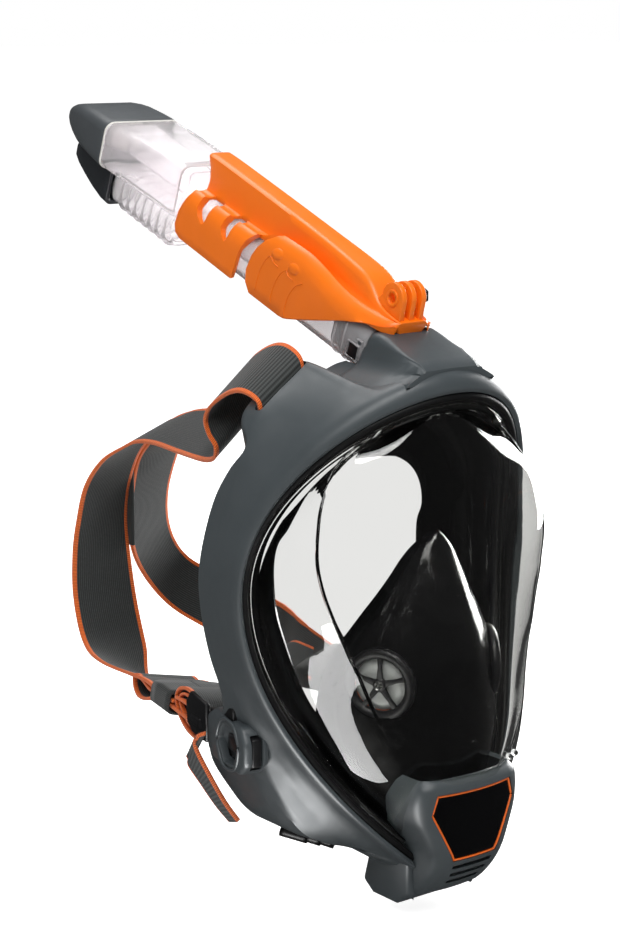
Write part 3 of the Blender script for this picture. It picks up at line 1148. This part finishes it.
for side, word in ((-1, "right"), (1, "left")):
    body = f"buckle_{word}"
    loop = folded(f"loop_band_{word}", side,
                  [(2.6, 92), (3.2, 70), (3.4, 52), (2.6, 46), (0.2, 43.4), (-2.4, 46), (-3.4, 52),
                                              (-3.6, 64), (-2.8, 74)], 18.5)
    piece(loop, body, [f"strap_loop_{word}"])
    fold_1 = folded(f"loop_fold_outer_{word}", side,
                    [(-3.6, 42), (-8.4, 50), (-10.4, 60), (-9.4, 69), (-6.2, 74.5),
                                                      (-1.4, 75.2), (4.6, 68), (8.8, 57), (10.2, 46),
                                                      (9.4, 38)], 17.5)
    piece(fold_1, body)
    fold_2 = folded(f"loop_fold_inner_{word}", side,
                    [(-2.2, 44), (-5.8, 52), (-7.4, 60), (-6.6, 67), (-3.6, 70.2),
                                                      (0.4, 67), (4.6, 58), (6.6, 48),
                                                      (6.2, 40)], 17.5, 1.4)
    piece(fold_2, body)
    tail = folded(f"tail_band_{word}", side,
                  [(2.6, 78), (3.2, 92), (4.4, 101), (7.4, 109), (10.2, 118), (10.4, 127),
                                              (7.0, 133.5), (2.6, 135.5), (0.2, 131), (1.2, 122),
                                              (3.0, 112), (2.6, 103)],
                  17.5)
    piece(tail, body, [f"strap_tail_{word}"])
    ring_path = spline([(-5.6, 0), (-5.4, 12), (-4.4, 19.6), (1.2, 20.9), (6.8, 19.6), (8.0, 12),
                        (8.2, 0), (8.0, -12),
                        (6.8, -19.6), (1.2, -20.9), (-4.4, -19.6), (-5.4, -12)], 5, True)
    rows = [[wb(side, d, o, z) for d, o in ring_path] for z in (77, 81, 87, 94, 101)]
    keeper = sheet_of(f"keeper_band_{word}", rows, [WEB], loop_v=True,
                      uv=[[((60 + 4 * i) * MM,
                            1.6 * j * MM) for j in range(len(ring_path))] for i in range(5)])
    thicken(keeper, 1.5)
    piece(keeper, body, [f"strap_keeper_{word}"])
    tongue = prism(f"clip_tongue_{word}",
                   [(-20, -7), (-16, -8.6), (36, -8.6), (36, 8.6), (-16, 8.6), (-20, 7)],
                   lambda a, b, d, s=side: bk(s, d, b, a), -2.6, 2.6, [BLACK])
    piece(soften(tongue, 0.9), body, [f"buckle_clip_{word}"])
    bar = bead(f"clip_bar_{word}", [wb(side, 0, o, 41) for o in (21, 10, 0, -10, -21)], 2.0, [BLACK], 14)
    piece(bar, body)
    ends = prism(f"clip_yoke_{word}",
                 [(28, 17), (34, 21.5), (45, 21.5), (45, 19.2), (36.5, 17), (35, 4), (34.5, -8),
                                       (36.5, -19.2), (45, -19.2), (45, -21.5), (32, -21.5), (28, -10)],
                 lambda a, b, d, s=side: wb(s, d, b, a), -2.4, 2.4, [BLACK])
    piece(soften(ends, 0.8), body)
    paddle = prism(f"clip_paddle_{word}",
                   [(27.5, -13), (46, -15.5), (51, -9), (50, 2), (44, 6.5), (27.5, 7.5)],
                   lambda a, b, d, s=side: bk(s, d - 0.06 * (a - 27) * 1.0, b, a), -7.6, -4.6, [BLACK])
    piece(soften(paddle, 1.1), body)
    button = prism(f"latch_{word}", rounded_rect(13.6, 8.8, 1.5), lambda a, b, d, s=side: bk(s, d, b, a),
                   -4.4, 0.6, [BLACK])
    piece(soften(button, 1.3), f"buckle_button_{word}", [f"buckle_button_{word}"])
    low = [((-83.5, 10, -58), (-84.5, 19, -72)), ((-86.2, 13, -60), (-87, 21, -73)),
           ((-86.6, 14.5, -66), (-85.6, 22, -78)),
           ((-82.6, 8.5, -80), (-81.6, 17, -87)), ((-77.6, 2, -94), (-76.6, 11, -98)),
           ((-72.6, -3, -104), (-71.8, 5.5, -106.5))]
    flat = [((-side * a[0], a[1], a[2]), (-side * b[0], b[1], b[2])) for a, b in low]
    doubled = webbing(f"jaw_band_{word}", flat, 8, 2.4, start=-40.0)
    piece(doubled, "mask")

# ---------------------------------------------------------------- small clear fittings on the lens
for i, (x, y, z) in enumerate(((-10, -84.6, -17), (-25, -77.6, -50), (10, -84.6, -17), (25, -77.6, -50))):
    stud = prism(f"lens_stud_{i + 1}", rounded_rect(4.2, 4.2, 0.8),
                 lambda a, b, d, x=x, y=y, z=z: (x + a, y + d, z + b), -1.6,
                 1.6, [VALVE])
    piece(soften(stud, 0.5), "mask")
for i, (x, z) in enumerate(((22, -62.5), (27, -62))):
    post = lathe(f"lens_post_{i + 1}", [(0, -0.5), (1.6, -0.5), (1.6, 3.2), (1.2, 3.8), (0, 4)],
                 lambda a, b, h, x=x, z=z: (x + a, dome(x, z) - h * 0.8 - 0.4, z + b), [VALVE], 20)
    piece(post, "mask")

# ---------------------------------------------------------------- floor, light, camera
floor_mat = moulded("floor_white", (240, 240, 239), 0.7, vary=0.01, depth=0.002, gloss=0.1)


def straight_on(tree):
    """The light path, and 1 for a sight line that has met nothing but clear plastic."""
    rays = tree.nodes.new("ShaderNodeLightPath")
    bounces = tree.nodes.new("ShaderNodeMath")
    tree.links.new(rays.outputs["Glossy Depth"], bounces.inputs[0])
    tree.links.new(rays.outputs["Diffuse Depth"], bounces.inputs[1])
    seen = tree.nodes.new("ShaderNodeMath")
    seen.operation = "LESS_THAN"
    seen.inputs[1].default_value = 0.5
    tree.links.new(bounces.outputs[0], seen.inputs[0])
    return rays, seen.outputs[0]


tree = floor_mat.node_tree
rays, seen = straight_on(tree)
lit = tree.nodes["Principled BSDF"]
shades = {}
for name, strength in (("glow", 0.8), ("plain", 0.94), ("dim", 0.04)):
    shades[name] = tree.nodes.new("ShaderNodeEmission")
    shades[name].inputs["Strength"].default_value = strength
both = tree.nodes.new("ShaderNodeAddShader")
tree.links.new(lit.outputs[0], both.inputs[0])
tree.links.new(shades["glow"].outputs[0], both.inputs[1])
last = lit
for when, shader in ((rays.outputs["Is Glossy Ray"], shades["dim"]), (seen, shades["plain"]),
                     (rays.outputs["Is Camera Ray"], both)):
    step = tree.nodes.new("ShaderNodeMixShader")
    tree.links.new(when, step.inputs[0])
    tree.links.new(last.outputs[0], step.inputs[1])
    tree.links.new(shader.outputs[0], step.inputs[2])
    last = step
tree.links.new(last.outputs[0], tree.nodes["Material Output"].inputs["Surface"])
floor = sheet_of("floor", [[(-30000 + 7500 * i, -30000 + 7500 * j,
                             -146.5) for j in range(9)] for i in range(9)], [floor_mat])

world = bpy.data.worlds.new("studio")
bpy.context.scene.world = world
world.use_nodes = True
tree = world.node_tree
surround = tree.nodes["Background"]
surround.inputs["Color"].default_value = (1, 1, 1, 1)
backdrop = tree.nodes.new("ShaderNodeBackground")
backdrop.inputs["Color"].default_value = (1, 1, 1, 1)
backdrop.inputs["Strength"].default_value = 1.0
rays, seen = straight_on(tree)
fill = tree.nodes.new("ShaderNodeMath")
fill.operation = "MULTIPLY_ADD"
fill.inputs[1].default_value, fill.inputs[2].default_value = 0.26, 0.07
tree.links.new(rays.outputs["Is Diffuse Ray"], fill.inputs[0])
tree.links.new(fill.outputs[0], surround.inputs["Strength"])
pick = tree.nodes.new("ShaderNodeMixShader")
tree.links.new(seen, pick.inputs[0])
tree.links.new(surround.outputs[0], pick.inputs[1])
tree.links.new(backdrop.outputs[0], pick.inputs[2])
tree.links.new(pick.outputs[0], tree.nodes["World Output"].inputs["Surface"])


def softbox(name, where, at, size, power):
    data = bpy.data.lights.new(name, "AREA")
    data.shape, data.size, data.size_y, data.energy = "RECTANGLE", size[0], size[1], power
    lamp = bpy.data.objects.new(name, data)
    bpy.context.scene.collection.objects.link(lamp)
    lamp.location = where
    lamp.rotation_euler = (Vector(at) - Vector(where)).to_track_quat("-Z", "Y").to_euler()
    return lamp


softbox("key", (-0.9, -0.8, 1.2), (0, 0, 0.05), (0.7, 0.7), 9)
softbox("brow", (-0.24, -0.62, 1.15), (0, 0, 0.1), (0.5, 0.45), 7)
softbox("top_back", (0.1, 0.5, 1.2), (0, 0, 0.1), (0.8, 0.6), 7)
softbox("right", (1.1, 0.30, 0.14), (0, 0, 0), (0.6, 0.9), 24)
card = softbox("low_card", (-0.19, -0.08, -0.143), (-0.19, -0.08, 1), (0.18, 0.10), 0.8)
card.visible_diffuse = card.visible_camera = card.visible_transmission = False

camera_data = bpy.data.cameras.new("camera")
camera_data.lens, camera_data.sensor_width = 86.56, 36.0
camera = bpy.data.objects.new("camera", camera_data)
bpy.context.scene.collection.objects.link(camera)
camera.location = (-0.7123, -0.8810, 0.2985)
camera.rotation_euler = Vector((0.6037, 0.7727, -0.1959)).to_track_quat("-Z", "Y").to_euler()
bpy.context.scene.camera = camera

bpy.context.scene.view_settings.view_transform = "Standard"
